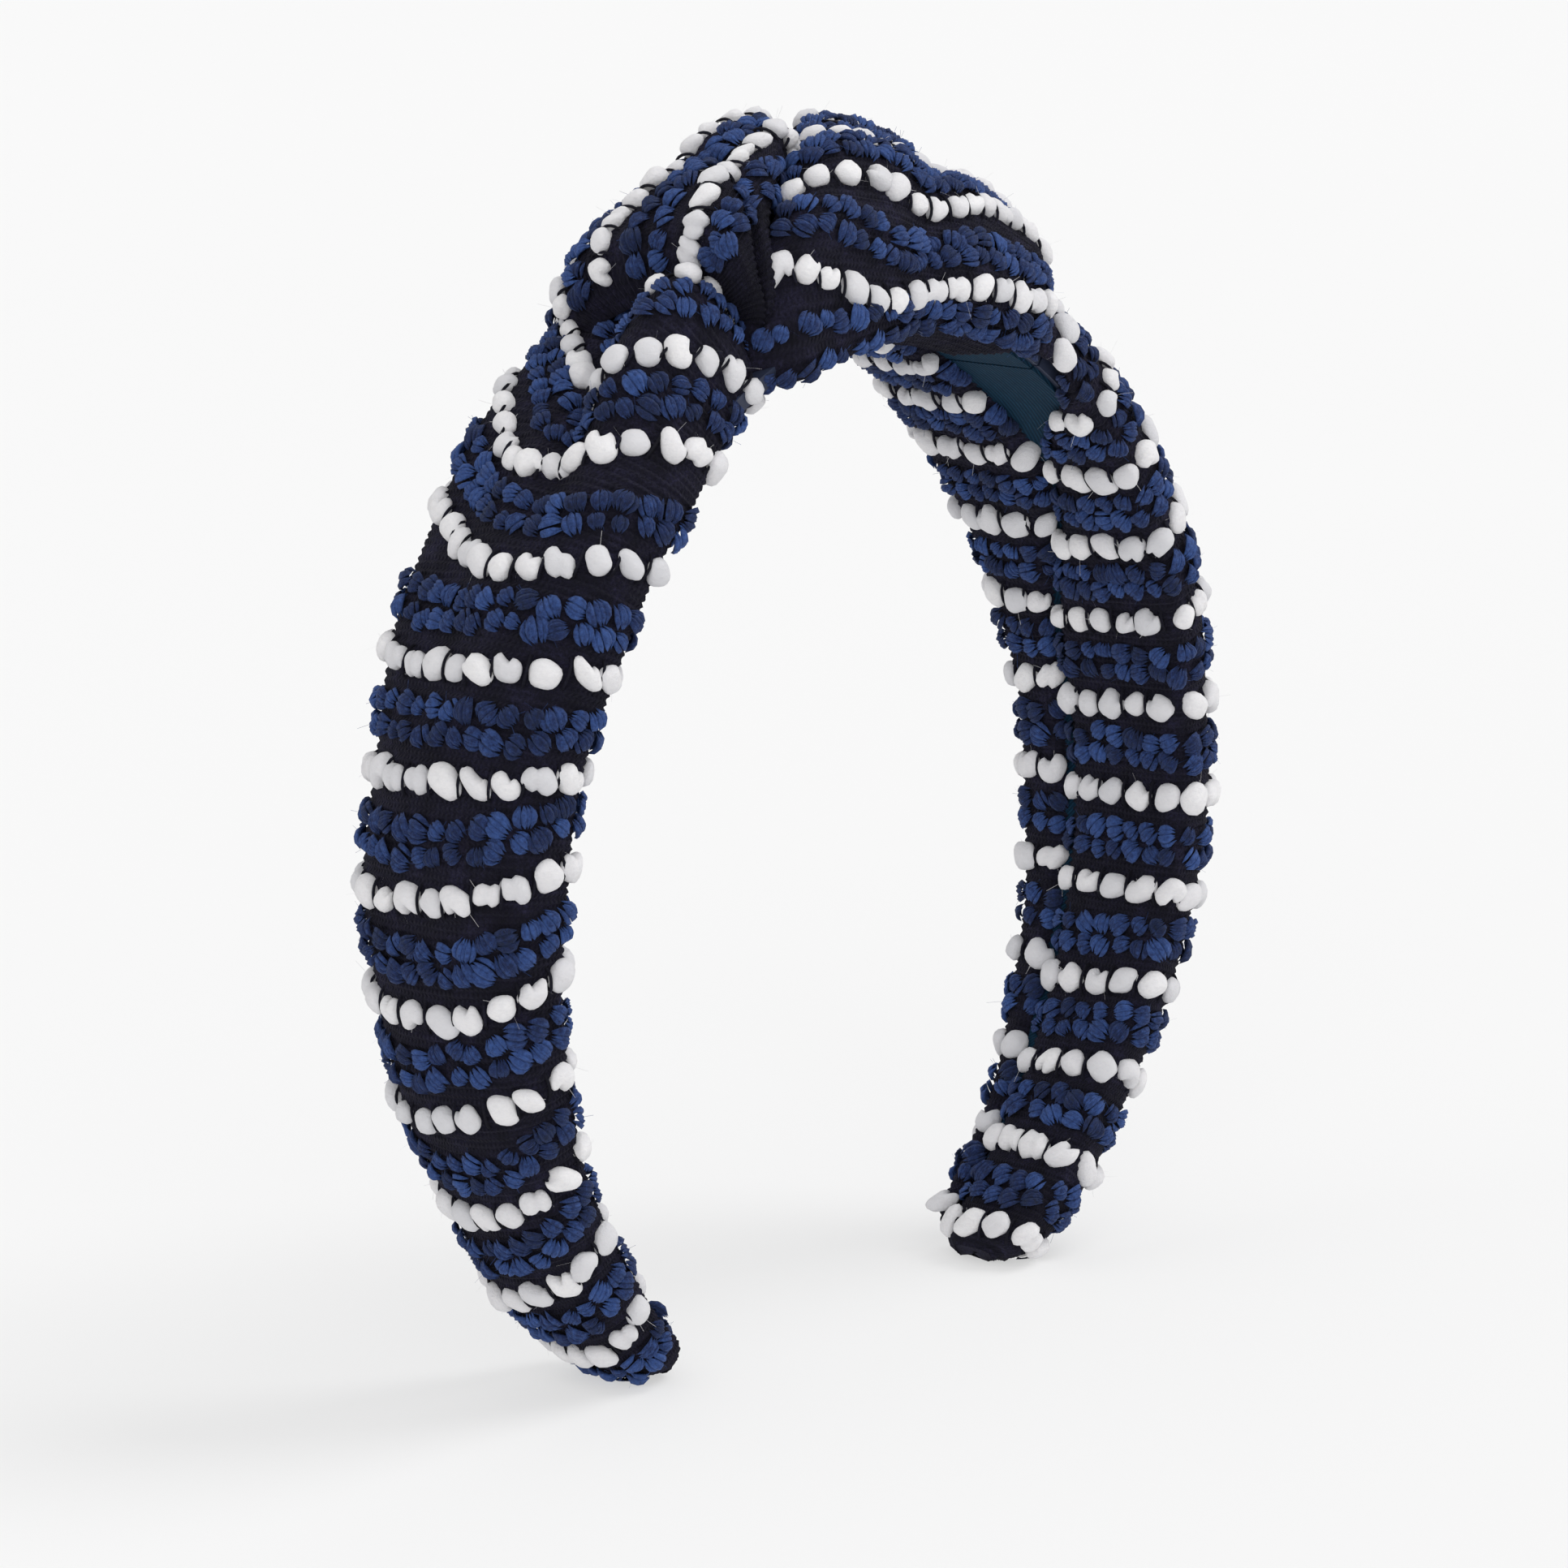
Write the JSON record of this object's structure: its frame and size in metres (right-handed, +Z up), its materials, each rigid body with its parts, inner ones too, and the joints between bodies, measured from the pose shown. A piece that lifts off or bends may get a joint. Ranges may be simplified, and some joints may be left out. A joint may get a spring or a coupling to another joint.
{
  "type": "knotted headband",
  "caption": "Springy padded hair band wrapped in navy cloth with blue and white slub rows, tied in a soft knot over the crown",
  "frame": {"origin": "on the plane of the two tips, midway between them, below the knot", "axes": "+Z up from the tips to the knot, X between the tips, +Y to the back"},
  "size_m": [0.1565, 0.0526, 0.1742],
  "materials": {
    "core_plastic": "moulded, satin",
    "foam": "open-cell foam and wadding",
    "lining": "flat woven ribbon with a slight sheen",
    "cloth": "matt open weave of thin near-black navy yarn",
    "white_yarn": "soft unspun roving in rows of beads",
    "blue_yarn": "twisted slub yarn in rows of beads",
    "thread": "sewing thread"
  },
  "bodies": {
    "crown": {"core_crown": "core_plastic", "lining_crown": "lining", "foam_crown": "foam", "cloth_loop_left": "cloth", "cloth_loop_right": "cloth", "wadding_crossing": "foam", "wadding_lying": "foam", "white_rows_knot": "white_yarn", "blue_rows_knot": "blue_yarn", "tack_stitches": "thread"},
    "left_leg": {"core_left": "core_plastic", "lining_left": "lining", "foam_left": "foam", "cloth_left": "cloth", "white_rows_left": "white_yarn", "blue_rows_left": "blue_yarn"},
    "right_leg": {"core_right": "core_plastic", "lining_right": "lining", "foam_right": "foam", "cloth_right": "cloth", "white_rows_right": "white_yarn", "blue_rows_right": "blue_yarn"}
  },
  "joints": [
    {"name": "flex_left", "type": "hinge", "parent": "crown", "child": "left_leg", "pos_m": [-0.03159, 0, 0.13047], "axis": [0, 1, 0], "range_deg": [-3, 10], "stiffness_Nm_per_rad": 1.2},
    {"name": "flex_right", "type": "hinge", "parent": "crown", "child": "right_leg", "pos_m": [0.03159, 0, 0.13047], "axis": [0, -1, 0], "range_deg": [-3, 10], "stiffness_Nm_per_rad": 1.2}
  ]
}
